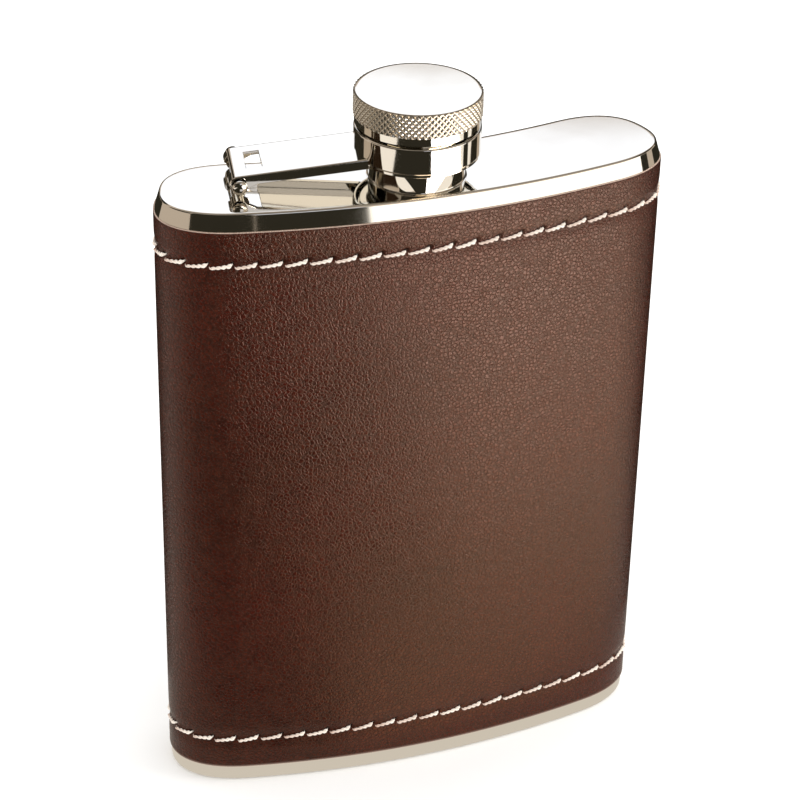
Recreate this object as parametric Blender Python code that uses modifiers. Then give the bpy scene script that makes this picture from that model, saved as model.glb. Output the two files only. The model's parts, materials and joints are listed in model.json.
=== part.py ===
# Leather-wrapped hip flask with a captive screw cap on a hinged arm.
# Metres, +Z up. The origin is under the middle of the base, the bowed front faces -Y and +X is to the right.
import math

import bmesh
import bpy
from mathutils import Matrix, Vector

MM = 0.001

# Driving dimensions of the flask, in millimetres
WIDTH = 92.0            # across the leather
THICKNESS = 21.5        # front to back at any one place, across the leather
BEND_RADIUS = 156.5     # hip curve, along the middle of the thickness
END_REACH = 14.3        # length of each rounded end along the hip curve
END_POWER = 2.39        # roundness of the ends: 2 is an ellipse, more is squarer
CENTRE_SHIFT = -1.82    # puts the curved plan's bounding box on the origin
SHOULDER_Z = 118.64     # flat top of the shoulder plate
GAP = 0.3               # clearance between pieces that touch on the real flask

# Walls, as distances inwards from the outside of the leather, and their heights
LEATHER_THICK = 1.0
LEATHER_LOW = 3.28
LEATHER_HIGH = 115.55
LEATHER_EDGE = 0.25     # how far the cut edges are rounded back
BUTT_SEAM = 0.5         # width of the joint at the middle of the back
SHELL_OUT = LEATHER_THICK + GAP
SHELL_THICK = 0.6
SPIGOT_OUT = SHELL_OUT + SHELL_THICK + GAP
SPIGOT_THICK = 0.6
SPIGOT_DEEP = 2.0
PLATE_THICK = 0.7
BAND_HIGH_OUT = 1.0     # the shoulder plate's band leans out from here at its top
BAND_LOW_OUT = 0.25     # to here at the leather
BASE_PLATE_OUT = 0.35
SIDE_STEPS = 12         # facets along each long side of the plan
END_STEPS = 14          # facets round each end of the plan

# Stitching: one thread round the flask near each edge of the leather
STITCH_HEIGHTS = {"lower_stitching": 9.75, "upper_stitching": 109.2}
STITCH_COUNTS = {"lower_stitching": 48, "upper_stitching": 49}
STITCH_SLANT = 0.35     # rise of a stitch above and below its row
STITCH_RUN = 0.9        # share of the spacing that the slanted stroke takes
THREAD_RADIUS = 0.36
GROOVE_DEEP = 0.45      # the leather is drawn in along each row
GROOVE_HALF = 1.6

# Neck and captive screw cap, about a vertical axis
NECK_X = -0.7
NECK_Y = -2.07
NECK_BORE = 5.6
NECK_RADIUS = 8.3
NECK_FOOT_RADIUS = 9.2
NECK_SHOULDER_Z = 123.0
MOUTH_Z = 126.85
THREAD_ROOT = 7.0
THREAD_CREST = 7.5
THREAD_PITCH = 1.5
THREAD_TURNS = 2.0
COLLAR_RADIUS = 10.9
COLLAR_LOW = 122.85
COLLAR_HIGH = 128.15
COLLAR_LIP = 0.6
COLLAR_RECESS = 10.3
SLEEVE_RADIUS = 9.0
SLEEVE_BORE = 8.5
SLEEVE_CREST = 8.2
WASHER_RADIUS = 10.0
WASHER_LOW = 123.95
WASHER_THICK = 0.45
CAP_RADIUS = 11.07
CAP_LAND_RADIUS = 10.82
CAP_LAND_HIGH = 129.95
CAP_LOW = 128.65
CAP_HIGH = 134.45
CAP_INSIDE = 10.2
CAP_CROWN_THICK = 1.0
LINER_THICK = 1.0
TURN_STEPS = 40

# Hinge and arm. The arm's own axes: u from the pin to the cap, v across, w up
PIN_X = -31.01
PIN_Y = 3.80
PIN_HEIGHT = 2.05       # above the shoulder plate
PIN_Z = SHOULDER_Z + PIN_HEIGHT
ARM_HEADING = math.radians(-10.5)
ARM_LENGTH = 30.85      # pin to cap axis
ARM_HALF_WIDTH = 6.05
ARM_SLOPE = math.radians(5.35)
ARM_DEPTH = 1.8         # height of the flanges
ARM_SHEET = 0.45
ARM_FLANGE = 0.9
ARM_WEB = 1.75          # the flanges are solid from the rolled end to here
HEEL_RADIUS = 1.75      # rolled end of the arm, about the pin
ROLL_END = 135          # where the roll ends over the barrel, as an angle about the pin in degrees
KNUCKLE_RADIUS = 1.4
BARREL_RADIUS = 1.0
BARREL_HALF = 2.8
FOOT_FROM = 0.15        # the bracket's foot lies towards the cap, clear of the rolled end as it opens
FOOT_TO = 3.4
FOOT_THICK = 0.45
PIN_RADIUS = 0.45
PIN_HEAD_RADIUS = 1.3
PIN_HEAD_THICK = 0.6
WINDOW = (1.45, 4.1)
FAR = 5.0               # reach of the cutting tools past the hinge
FAR_END = 40.0          # and past the cap

MATERIALS = {
    "polished_steel": ((0.80, 0.79, 0.77), 0.08, 1.0),
    "knurled_steel": ((0.72, 0.69, 0.63), 0.18, 1.0),
    "brown_leather": ((0.052, 0.018, 0.011), 0.45, 0.0),
    "cream_thread": ((0.66, 0.54, 0.43), 0.8, 0.0),
    "white_liner": ((0.85, 0.85, 0.82), 0.5, 0.0),
}

for old in list(bpy.data.objects):
    bpy.data.objects.remove(old, do_unlink=True)

parts = bpy.data.collections.new("hip_flask")
cutters = bpy.data.collections.new("cutters")
bpy.context.scene.collection.children.link(parts)
bpy.context.scene.collection.children.link(cutters)


def material(name):
    """The named finish, made once."""
    found = bpy.data.materials.get(name)
    if found:
        return found
    colour, roughness, metallic = MATERIALS[name]
    made = bpy.data.materials.new(name)
    made.use_nodes = True
    shader = made.node_tree.nodes["Principled BSDF"]
    shader.inputs["Base Color"].default_value = (*colour, 1.0)
    shader.inputs["Roughness"].default_value = roughness
    shader.inputs["Metallic"].default_value = metallic
    return made


def add_part(name, data, finish):
    """Put a mesh or curve in the scene as a named piece."""
    piece = bpy.data.objects.new(name, data)
    data.materials.append(material(finish))
    parts.objects.link(piece)
    return piece


def add_cutter(name, mesh):
    """Put a mesh in the scene as a hidden tool for a Boolean."""
    tool = bpy.data.objects.new(name, mesh)
    tool.hide_render = True
    tool.display_type = "WIRE"
    cutters.objects.link(tool)
    return tool


def combine(piece, tool, operation="DIFFERENCE"):
    """Cut a tool out of a piece, or join it on."""
    step = piece.modifiers.new(operation.lower() + "_" + tool.name, "BOOLEAN")
    step.operation = operation
    step.object = tool
    step.solver = "EXACT"


def mesh_from(name, build):
    """A mesh from a bmesh, with faces turned outwards and smooth shading between shallow edges."""
    mesh = bpy.data.meshes.new(name)
    bmesh.ops.recalc_face_normals(build, faces=build.faces)
    build.to_mesh(mesh)
    build.free()
    mesh.shade_smooth()
    mesh.set_sharp_from_angle(angle=math.radians(35))
    return mesh


def plan_point(s, q):
    """A point of the plan from a length along the hip curve and a distance towards its centre."""
    angle = s / BEND_RADIUS
    x = (BEND_RADIUS - q) * math.sin(angle)
    y = BEND_RADIUS - (BEND_RADIUS - q) * math.cos(angle) + CENTRE_SHIFT
    return Vector((x, y, 0.0))


def plan_outline(inset, side_steps=SIDE_STEPS, end_steps=END_STEPS):
    """The kidney-shaped outline, drawn in by inset millimetres, anticlockwise from the front left."""
    half_thick = THICKNESS / 2 - inset
    straight = WIDTH / 2 - END_REACH
    reach = END_REACH - inset
    front = [plan_point(straight * (2 * step / side_steps - 1), -half_thick) for step in range(side_steps)]
    back = [plan_point(straight * (1 - 2 * step / side_steps), half_thick) for step in range(side_steps)]
    right = []
    left = []
    for step in range(end_steps):
        turn = math.pi * step / end_steps - math.pi / 2
        along = straight + reach * abs(math.cos(turn)) ** (2 / END_POWER)
        across = half_thick * math.copysign(abs(math.sin(turn)) ** (2 / END_POWER), turn)
        right.append(plan_point(along, across))
        left.append(plan_point(-along, -across))
    return front + right + back + left


def loft(name, sections, closed):
    """A solid through outlines given as (inset, height): a ring-shaped wall if closed, else capped."""
    build = bmesh.new()
    rings = []
    for inset, height in sections:
        ring = [build.verts.new((point + Vector((0, 0, height))) * MM) for point in plan_outline(inset)]
        rings.append(ring)
    pairs = list(zip(rings, rings[1:]))
    if closed:
        pairs.append((rings[-1], rings[0]))
    for lower, upper in pairs:
        for here in range(len(lower)):
            there = (here + 1) % len(lower)
            build.faces.new((lower[here], lower[there], upper[there], upper[here]))
    if not closed:
        build.faces.new(rings[0])
        build.faces.new(rings[-1])
    return mesh_from(name, build)


def turned(name, profile, finish, closed):
    """A piece turned about the neck axis from (radius, height) points, down its outer side first."""
    mesh = bpy.data.meshes.new(name)
    points = [(radius * MM, 0.0, height * MM) for radius, height in profile]
    edges = [(here, here + 1) for here in range(len(points) - 1)]
    if closed:
        edges.append((len(points) - 1, 0))
    mesh.from_pydata(points, edges, [])
    piece = add_part(name, mesh, finish)
    piece.location = (NECK_X * MM, NECK_Y * MM, 0.0)
    spin = piece.modifiers.new("turn", "SCREW")
    spin.steps = TURN_STEPS
    spin.render_steps = TURN_STEPS
    spin.use_merge_vertices = True
    spin.merge_threshold = 0.00001
    return piece


def arc(centre, radius, start, end, steps):
    """Points of an arc between two angles in degrees."""
    points = []
    for step in range(steps + 1):
        angle = math.radians(start + (end - start) * step / steps)
        points.append((centre[0] + radius * math.cos(angle), centre[1] + radius * math.sin(angle)))
    return points


def prism(name, outline, half_width):
    """A solid with a side outline in u and w, extruded across from -half_width to half_width."""
    build = bmesh.new()
    near = [build.verts.new((u * MM, -half_width * MM, w * MM)) for u, w in outline]
    face = build.faces.new(near)
    grown = bmesh.ops.extrude_face_region(build, geom=[face])
    far = [item for item in grown["geom"] if isinstance(item, bmesh.types.BMVert)]
    bmesh.ops.translate(build, verts=far, vec=(0.0, 2 * half_width * MM, 0.0))
    return mesh_from(name, build)


def rod(name, radius, length, across, steps=TURN_STEPS):
    """A plain cylinder mesh about its own middle, along v if across, else upright."""
    build = bmesh.new()
    turn = Matrix.Rotation(math.pi / 2, 4, "X") if across else Matrix.Identity(4)
    bmesh.ops.create_cone(build, cap_ends=True, segments=steps, radius1=radius * MM, radius2=radius * MM,
                          depth=length * MM, matrix=turn)
    return mesh_from(name, build)


def on_hinge(piece):
    """Place a piece or tool modelled about the hinge pin."""
    piece.location = (PIN_X * MM, PIN_Y * MM, PIN_Z * MM)
    piece.rotation_euler = (0.0, 0.0, ARM_HEADING)
    return piece


def helix_ridge(name, root, crest, start_z, turns):
    """A screw-thread ridge of trapezoid section, faded out to the root at both ends."""
    build = bmesh.new()
    half_root = 0.32 * THREAD_PITCH
    half_crest = 0.12 * THREAD_PITCH
    steps = int(turns * TURN_STEPS / 2)
    fade_steps = 4
    rings = []
    for step in range(steps + 1):
        angle = 2 * math.pi * turns * step / steps
        fade = min(1.0, 0.15 + min(step, steps - step) / fade_steps)
        top = root + (crest - root) * fade
        middle = start_z + THREAD_PITCH * turns * step / steps
        section = ((root, half_root), (top, half_crest), (top, -half_crest), (root, -half_root))
        rings.append([build.verts.new((r * MM * math.cos(angle), r * MM * math.sin(angle), (middle + h) * MM))
                      for r, h in section])
    for here, there in zip(rings, rings[1:]):
        for corner in range(4):
            after = (corner + 1) % 4
            build.faces.new((here[corner], here[after], there[after], there[corner]))
    build.faces.new(rings[0])
    build.faces.new(rings[-1])
    ridge = add_cutter(name, mesh_from(name, build))
    ridge.location = (NECK_X * MM, NECK_Y * MM, 0.0)
    return ridge


# Body shell: the drawn steel wall, open at both ends
shell_low = LEATHER_LOW - 0.03
shell_sections = [(SHELL_OUT, shell_low), (SHELL_OUT, LEATHER_HIGH),
                  (SHELL_OUT + SHELL_THICK, LEATHER_HIGH), (SHELL_OUT + SHELL_THICK, shell_low)]
add_part("body_shell", loft("body_shell", shell_sections, True), "polished_steel")

# Base plate: a pressed dish with a rounded edge and a spigot up inside the shell
base_ledge = LEATHER_LOW - GAP - 0.03
base_sections = [
    (BASE_PLATE_OUT + 1.0, 0.0),
    (BASE_PLATE_OUT + 0.3, 0.3),
    (BASE_PLATE_OUT, 1.0),
    (BASE_PLATE_OUT, base_ledge),
    (SPIGOT_OUT, base_ledge),
    (SPIGOT_OUT, base_ledge + SPIGOT_DEEP),
    (SPIGOT_OUT + SPIGOT_THICK, base_ledge + SPIGOT_DEEP),
    (SPIGOT_OUT + SPIGOT_THICK, PLATE_THICK + 0.5),
    (SPIGOT_OUT + SPIGOT_THICK + 0.5, PLATE_THICK),
]
add_part("base_plate", loft("base_plate", base_sections, False), "polished_steel")

# Top plate: the pressed shoulder with a rolled edge, a spigot down inside the shell and a hole for the neck
top_ledge = LEATHER_HIGH + GAP
top_sections = [
    (BAND_HIGH_OUT + 0.8, SHOULDER_Z),
    (BAND_HIGH_OUT + 0.25, SHOULDER_Z - 0.12),
    (BAND_HIGH_OUT, SHOULDER_Z - 0.45),
    (BAND_LOW_OUT, top_ledge),
    (SPIGOT_OUT, top_ledge),
    (SPIGOT_OUT, top_ledge - SPIGOT_DEEP),
    (SPIGOT_OUT + SPIGOT_THICK, top_ledge - SPIGOT_DEEP),
    (SPIGOT_OUT + SPIGOT_THICK, SHOULDER_Z - PLATE_THICK - 0.5),
    (SPIGOT_OUT + SPIGOT_THICK + 0.5, SHOULDER_Z - PLATE_THICK),
]
top_plate = add_part("top_plate", loft("top_plate", top_sections, False), "polished_steel")
neck_spigot = NECK_BORE + 1.2
neck_hole = add_cutter("neck_hole", rod("neck_hole", neck_spigot + GAP, 10.0, False))
neck_hole.location = (NECK_X * MM, NECK_Y * MM, SHOULDER_Z * MM)
combine(top_plate, neck_hole)

# Leather wrap: one strip round the shell, drawn in along the stitch rows, its ends butted at the back
leather_sections = [(LEATHER_EDGE, LEATHER_LOW), (0.0, LEATHER_LOW + LEATHER_EDGE)]
for row_z in sorted(STITCH_HEIGHTS.values()):
    leather_sections += [(0.0, row_z - GROOVE_HALF), (GROOVE_DEEP, row_z - THREAD_RADIUS),
                         (GROOVE_DEEP, row_z + THREAD_RADIUS), (0.0, row_z + GROOVE_HALF)]
leather_sections += [(0.0, LEATHER_HIGH - LEATHER_EDGE), (LEATHER_EDGE, LEATHER_HIGH),
                     (LEATHER_THICK, LEATHER_HIGH), (LEATHER_THICK, LEATHER_LOW)]
leather = add_part("leather_wrap", loft("leather_wrap", leather_sections, True), "brown_leather")
seam_outline = [(-BUTT_SEAM / 2, -FAR), (BUTT_SEAM / 2, -FAR),
                (BUTT_SEAM / 2, SHOULDER_Z), (-BUTT_SEAM / 2, SHOULDER_Z)]
seam_cut = add_cutter("butt_seam", prism("butt_seam", seam_outline, 4.0))
seam_cut.location = (0.0, (THICKNESS / 2 + CENTRE_SHIFT) * MM, 0.0)
combine(leather, seam_cut)

# Stitching: for each row a thread that runs on in slanted strokes, just proud of its groove
thread_inset = GROOVE_DEEP - GAP - THREAD_RADIUS
track = plan_outline(thread_inset, 60, 60)
track_ends = track[1:] + track[:1]
lengths = [(there - here).length for here, there in zip(track, track_ends)]
track_length = sum(lengths)


def track_point(distance):
    """A point at a distance along the thread's way round the flask."""
    left = distance % track_length
    for here, there, length in zip(track, track_ends, lengths):
        if left <= length:
            return here.lerp(there, left / length)
        left -= length
    return track[0].copy()


def stitch_row(name, row_z, count):
    """One endless thread of slanted stitches."""
    spacing = track_length / count
    stroke = ((0.0, -1.0), (STITCH_RUN / 2, 0.0), (STITCH_RUN, 1.0))
    curve = bpy.data.curves.new(name, "CURVE")
    curve.dimensions = "3D"
    curve.twist_mode = "Z_UP"
    curve.bevel_depth = THREAD_RADIUS * MM
    curve.bevel_resolution = 1
    curve.render_resolution_u = 0
    spline = curve.splines.new("POLY")
    spline.use_cyclic_u = True
    spline.points.add(count * len(stroke) - 1)
    for stitch in range(count):
        for order, (run, rise) in enumerate(stroke):
            point = track_point((stitch + run) * spacing)
            point.z = row_z + rise * STITCH_SLANT
            spline.points[stitch * len(stroke) + order].co = (*(point * MM), 1.0)
    return add_part(name, curve, "cream_thread")


for row_name, row_height in STITCH_HEIGHTS.items():
    stitch_row(row_name, row_height, STITCH_COUNTS[row_name])

# Neck: a turned tube with a flared foot on the shoulder plate and a threaded mouth
neck_foot = SHOULDER_Z + GAP
neck_profile = [
    (NECK_BORE + 0.3, MOUTH_Z),
    (THREAD_ROOT - 0.25, MOUTH_Z),
    (THREAD_ROOT, MOUTH_Z - 0.25),
    (THREAD_ROOT, NECK_SHOULDER_Z),
    (NECK_RADIUS - 0.2, NECK_SHOULDER_Z),
    (NECK_RADIUS, NECK_SHOULDER_Z - 0.2),
    (NECK_RADIUS, neck_foot + 0.9),
    (NECK_RADIUS + 0.25, neck_foot + 0.5),
    (NECK_FOOT_RADIUS, neck_foot + 0.2),
    (NECK_FOOT_RADIUS, neck_foot),
    (neck_spigot, neck_foot),
    (neck_spigot, SHOULDER_Z - PLATE_THICK - 1.0),
    (NECK_BORE, SHOULDER_Z - PLATE_THICK - 1.0),
    (NECK_BORE, MOUTH_Z - 0.3),
]
neck = turned("neck", neck_profile, "polished_steel", True)
neck_thread = helix_ridge("neck_thread", THREAD_ROOT - 0.15, THREAD_CREST,
                          NECK_SHOULDER_Z + 0.55, THREAD_TURNS - 0.2)
combine(neck, neck_thread, "UNION")

# Swivel collar: the ring at the end of the arm, with a lip at its top that holds the cap's washer
collar_profile = [
    (SLEEVE_RADIUS + GAP, COLLAR_HIGH),
    (COLLAR_RADIUS - 0.2, COLLAR_HIGH),
    (COLLAR_RADIUS, COLLAR_HIGH - 0.2),
    (COLLAR_RADIUS, COLLAR_LOW + 0.2),
    (COLLAR_RADIUS - 0.2, COLLAR_LOW),
    (COLLAR_RECESS, COLLAR_LOW),
    (COLLAR_RECESS, COLLAR_HIGH - COLLAR_LIP),
    (SLEEVE_RADIUS + GAP, COLLAR_HIGH - COLLAR_LIP),
]
turned("swivel_collar", collar_profile, "polished_steel", True)

# Thrust washer: rides under the collar's lip, lifts with the cap and lets it turn
washer_profile = [
    (SLEEVE_RADIUS + GAP, WASHER_LOW + WASHER_THICK),
    (WASHER_RADIUS, WASHER_LOW + WASHER_THICK),
    (WASHER_RADIUS, WASHER_LOW),
    (SLEEVE_RADIUS + GAP, WASHER_LOW),
]
turned("thrust_washer", washer_profile, "polished_steel", True)

# Cap core: the threaded sleeve, its foot spread under the washer and its head pressed into the cap shell
sleeve_low = NECK_SHOULDER_Z + GAP
liner_low = MOUTH_Z + GAP
core_ceiling = liner_low + LINER_THICK + GAP
core_top = CAP_LOW + 1.0
spread_radius = WASHER_RADIUS - GAP
core_profile = [
    (0.0, core_top),
    (CAP_INSIDE - GAP, core_top),
    (CAP_INSIDE - GAP, CAP_LOW),
    (SLEEVE_RADIUS, CAP_LOW),
    (SLEEVE_RADIUS, sleeve_low + 0.4),
    (spread_radius, sleeve_low + 0.4),
    (spread_radius, sleeve_low),
    (SLEEVE_BORE, sleeve_low),
    (SLEEVE_BORE, core_ceiling),
    (0.0, core_ceiling),
]
core = turned("cap_core", core_profile, "polished_steel", False)
core_thread = helix_ridge("core_thread", SLEEVE_BORE + 0.15, SLEEVE_CREST,
                          sleeve_low + 0.7, THREAD_TURNS - 0.4)
combine(core, core_thread, "UNION")

# Cap liner: the soft disc that seals on the mouth
liner_profile = [(0.0, liner_low + LINER_THICK), (SLEEVE_CREST, liner_low + LINER_THICK),
                 (SLEEVE_CREST, liner_low), (0.0, liner_low)]
turned("cap_liner", liner_profile, "white_liner", False)

# Cap shell: the knurled grip with a smooth land below it and a flat crown
cap_profile = [
    (0.0, CAP_HIGH),
    (CAP_RADIUS - 0.75, CAP_HIGH),
    (CAP_RADIUS - 0.4, CAP_HIGH - 0.12),
    (CAP_RADIUS, CAP_HIGH - 0.5),
    (CAP_RADIUS, CAP_LAND_HIGH),
    (CAP_LAND_RADIUS, CAP_LAND_HIGH - 0.15),
    (CAP_LAND_RADIUS, CAP_LOW),
    (CAP_INSIDE, CAP_LOW),
    (CAP_INSIDE, CAP_HIGH - CAP_CROWN_THICK),
    (0.0, CAP_HIGH - CAP_CROWN_THICK),
]
turned("cap_shell", cap_profile, "knurled_steel", False)

# Hinge bracket: a foot on the shoulder plate with a barrel for the pin
hole_radius = PIN_RADIUS + GAP
foot_low = GAP - PIN_HEIGHT
foot_high = foot_low + FOOT_THICK
bracket_outline = [(FOOT_FROM, foot_low), (FOOT_TO, foot_low), (FOOT_TO, foot_high),
                   (BARREL_RADIUS + 0.5, foot_high)]
bracket_outline += arc((0.0, 0.0), BARREL_RADIUS, -15, 278, 16)
bracket = add_part("hinge_bracket", prism("hinge_bracket", bracket_outline, BARREL_HALF), "polished_steel")
on_hinge(bracket)
pin_hole = on_hinge(add_cutter("pin_hole", rod("pin_hole", hole_radius, 4 * ARM_HALF_WIDTH, True, 20)))
combine(bracket, pin_hole)


# Hinge arm: a folded channel of sheet steel, rolled over the barrel, with two knuckles and a window
def arm_top(u):
    """Height of the arm's top above the pin."""
    return HEEL_RADIUS / math.cos(ARM_SLOPE) + u * math.tan(ARM_SLOPE)


arm_end = ARM_LENGTH - 5.0
roll_start = 90 + math.degrees(ARM_SLOPE)
depth_start = BARREL_HALF + GAP
arm_outline = [(arm_end, arm_top(arm_end)), (arm_end, arm_top(arm_end) - ARM_DEPTH)]
arm_outline += [(depth_start, arm_top(depth_start) - ARM_DEPTH)]
arm_outline += arc((0.0, 0.0), KNUCKLE_RADIUS, -30, -175, 9)
arm_outline += arc((0.0, 0.0), HEEL_RADIUS, 178, roll_start, 8)
arm = on_hinge(add_part("hinge_arm", prism("hinge_arm", arm_outline, ARM_HALF_WIDTH), "polished_steel"))

channel_outline = [(ARM_WEB, -FAR), (FAR_END, -FAR), (FAR_END, arm_top(FAR_END) - ARM_SHEET),
                   (ARM_WEB, arm_top(ARM_WEB) - ARM_SHEET)]
room_end = WINDOW[0] + 0.2
roll_cut = (FAR * math.cos(math.radians(ROLL_END)), FAR * math.sin(math.radians(ROLL_END)))
barrel_room_outline = [(-FAR, -FAR), (room_end, -FAR), (room_end, arm_top(room_end) - ARM_SHEET)]
barrel_room_outline += arc((0.0, 0.0), HEEL_RADIUS - ARM_SHEET, roll_start, ROLL_END, 5)
barrel_room_outline += [roll_cut, (-FAR, roll_cut[1])]
window_outline = [(WINDOW[0], -FAR), (WINDOW[1], -FAR), (WINDOW[1], FAR), (WINDOW[0], FAR)]
arm_cuts = {
    "channel": (channel_outline, ARM_HALF_WIDTH - ARM_FLANGE),
    "barrel_room": (barrel_room_outline, BARREL_HALF + GAP),
    "window": (window_outline, BARREL_HALF + GAP),
}
for cut_name, (cut_outline, cut_half) in arm_cuts.items():
    combine(arm, on_hinge(add_cutter(cut_name, prism(cut_name, cut_outline, cut_half))))
collar_room = add_cutter("collar_room", rod("collar_room", COLLAR_RADIUS + GAP, 20.0, False))
collar_room.location = (NECK_X * MM, NECK_Y * MM, COLLAR_LOW * MM)
combine(arm, collar_room)
combine(arm, pin_hole)

# Hinge pin: a rivet through the knuckles and the barrel, headed over at both ends
head_v = ARM_HALF_WIDTH + GAP
pin_length = 2 * (head_v + PIN_HEAD_THICK)
pin = add_part("hinge_pin", rod("hinge_pin", PIN_RADIUS, pin_length, True, 20), "polished_steel")
on_hinge(pin)
for side, head_name in ((-1, "pin_head_left"), (1, "pin_head_right")):
    head = on_hinge(add_cutter(head_name, rod(head_name, PIN_HEAD_RADIUS, PIN_HEAD_THICK, True, 20)))
    middle = Vector((0.0, side * (head_v + PIN_HEAD_THICK / 2) * MM, 0.0))
    head.location = head.location + Matrix.Rotation(ARM_HEADING, 3, "Z") @ middle
    combine(pin, head, "UNION")
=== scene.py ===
# Hip flask: a curved steel can in a stitched leather wrap, with a knurled screw cap on a hinged arm.
# The bowed front faces -Y, +Z is up, and every size is in metres unless a name says millimetres.
import json
import math

import bmesh
import bpy
import numpy as np
from mathutils import Matrix, Vector


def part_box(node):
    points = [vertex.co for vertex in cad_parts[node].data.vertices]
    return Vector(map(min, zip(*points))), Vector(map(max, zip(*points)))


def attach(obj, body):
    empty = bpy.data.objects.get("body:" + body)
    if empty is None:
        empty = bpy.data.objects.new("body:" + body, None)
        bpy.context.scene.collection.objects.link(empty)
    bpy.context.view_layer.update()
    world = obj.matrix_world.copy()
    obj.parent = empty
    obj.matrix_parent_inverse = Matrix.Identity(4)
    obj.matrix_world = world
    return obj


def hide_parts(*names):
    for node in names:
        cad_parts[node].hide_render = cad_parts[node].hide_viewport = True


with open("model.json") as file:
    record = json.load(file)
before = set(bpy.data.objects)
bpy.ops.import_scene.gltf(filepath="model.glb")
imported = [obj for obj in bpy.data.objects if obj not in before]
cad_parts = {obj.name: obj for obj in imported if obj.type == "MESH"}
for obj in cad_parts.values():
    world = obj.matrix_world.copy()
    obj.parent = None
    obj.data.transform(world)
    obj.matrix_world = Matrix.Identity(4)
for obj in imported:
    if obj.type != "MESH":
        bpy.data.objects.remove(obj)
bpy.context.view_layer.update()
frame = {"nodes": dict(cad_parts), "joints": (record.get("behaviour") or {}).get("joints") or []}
bpy.ops.object.select_all(action="DESELECT")

# Camera: a long lens above and to the left of the bowed front, tipped a little, as the flask was
# photographed. Its angles, distance and focal length come from fitting the flask's own outline in
# the 800 by 800 picture.
MM = 0.001
CAMERA_PLACE = Vector((-141.03, -389.46, 319.79)) * MM
CAMERA_AZIMUTH = math.radians(-19.64)
CAMERA_ELEVATION = math.radians(30.877)
CAMERA_ROLL = math.radians(-1.247)
FOCAL_LENGTH_MM = 120.27
SENSOR_WIDTH_MM = 36.0

bpy.ops.object.camera_add(location=CAMERA_PLACE)
camera = bpy.context.object
look_back = Vector((math.sin(CAMERA_AZIMUTH) * math.cos(CAMERA_ELEVATION),
                    -math.cos(CAMERA_AZIMUTH) * math.cos(CAMERA_ELEVATION),
                    math.sin(CAMERA_ELEVATION)))
camera.rotation_euler = (look_back.to_track_quat("Z", "Y").to_matrix()
                         @ Matrix.Rotation(-CAMERA_ROLL, 3, "Z")).to_euler()
camera.data.lens = FOCAL_LENGTH_MM
camera.data.sensor_width = SENSOR_WIDTH_MM
bpy.context.scene.camera = camera


# Body shell: the drawn stainless steel wall that the leather covers, seen only down the mouth.
# Its mirror polish is shared by the plates, the neck and the hinge: the eye sees a bright, faintly
# warm mirror with a soft haze from the buffing wheel.
def linear(hex_colour):
    """Linear red, green, blue and alpha from an sRGB hex colour."""
    channels = [int(hex_colour[start:start + 2], 16) / 255 for start in (0, 2, 4)]
    return [c / 12.92 if c <= 0.04045 else ((c + 0.055) / 1.055) ** 2.4 for c in channels] + [1.0]


def add_node(material, kind, settings=None, feeds=(), **links):
    """Add a node, set its properties or sockets, and feed its sockets, in their order or by name."""
    node = material.node_tree.nodes.new(kind)
    for name, value in (settings or {}).items():
        if name in node.inputs:
            node.inputs[name].default_value = value
        else:
            setattr(node, name, value)
    for socket, feed in zip(node.inputs, feeds):
        if isinstance(feed, bpy.types.NodeSocket):
            material.node_tree.links.new(feed, socket)
        else:
            socket.default_value = feed
    for name, source in links.items():
        material.node_tree.links.new(source, node.inputs[name])
    return node


def new_material(name):
    """An empty material with a Principled shader, and that shader."""
    material = bpy.data.materials.new(name)
    material.use_nodes = True
    return material, material.node_tree.nodes["Principled BSDF"]


POLISH_HAZE_MM = 14.0      # patches left by the buffing wheel
POLISH_WAVE_MM = 22.0      # slow unevenness of pressed sheet
mirror_steel, shader = new_material("mirror_polished_stainless_steel")
shader.inputs["Base Color"].default_value = linear("F0ECE3")
shader.inputs["Metallic"].default_value = 1.0
coords = add_node(mirror_steel, "ShaderNodeTexCoord")
haze = add_node(mirror_steel, "ShaderNodeTexNoise", {"Scale": 1 / (POLISH_HAZE_MM * MM), "Detail": 4.0},
                Vector=coords.outputs["Object"])
rough = add_node(mirror_steel, "ShaderNodeMapRange",
                 {"From Min": 0.3, "From Max": 0.75, "To Min": 0.03, "To Max": 0.085},
                 Value=haze.outputs["Fac"])
wave = add_node(mirror_steel, "ShaderNodeTexNoise", {"Scale": 1 / (POLISH_WAVE_MM * MM), "Detail": 1.0},
                Vector=coords.outputs["Object"])
ripple = add_node(mirror_steel, "ShaderNodeBump", {"Strength": 0.25, "Distance": 0.06 * MM},
                  Height=wave.outputs["Fac"])
mirror_steel.node_tree.links.new(rough.outputs["Result"], shader.inputs["Roughness"])
mirror_steel.node_tree.links.new(ripple.outputs["Normal"], shader.inputs["Normal"])


def finish_piece(piece, material, body, slot, *nodes):
    """Give a piece its finish and its body, and hide the CAD nodes that it stands for. The slot is not
    used.
    """
    piece.data.materials.clear()
    piece.data.materials.append(material)
    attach(piece, body)
    if nodes:
        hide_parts(*nodes)


shell = frame["nodes"]["body_shell"]
shell.data.materials.clear()
shell.data.materials.append(mirror_steel)

# Base plate: a pressed steel dish, soldered on under the shell, with a small rounded edge that shows
# as a bright band. It is drawn up in rings of the flask's kidney-shaped plan, from the flat underside
# to the joint with the leather.
HALF_WIDTH = 46.0 * MM      # along the bent middle line of the plan
THICKNESS = 21.5 * MM       # front to back
BEND_RADIUS = 156.5 * MM    # of the middle line
END_REACH = 14.3 * MM       # how far each rounded end reaches along the middle line
END_POWER = 2.39            # 2 would be an ellipse, and more is squarer
CENTRE_SHIFT = -1.82 * MM   # puts the plan's box about the origin


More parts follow.
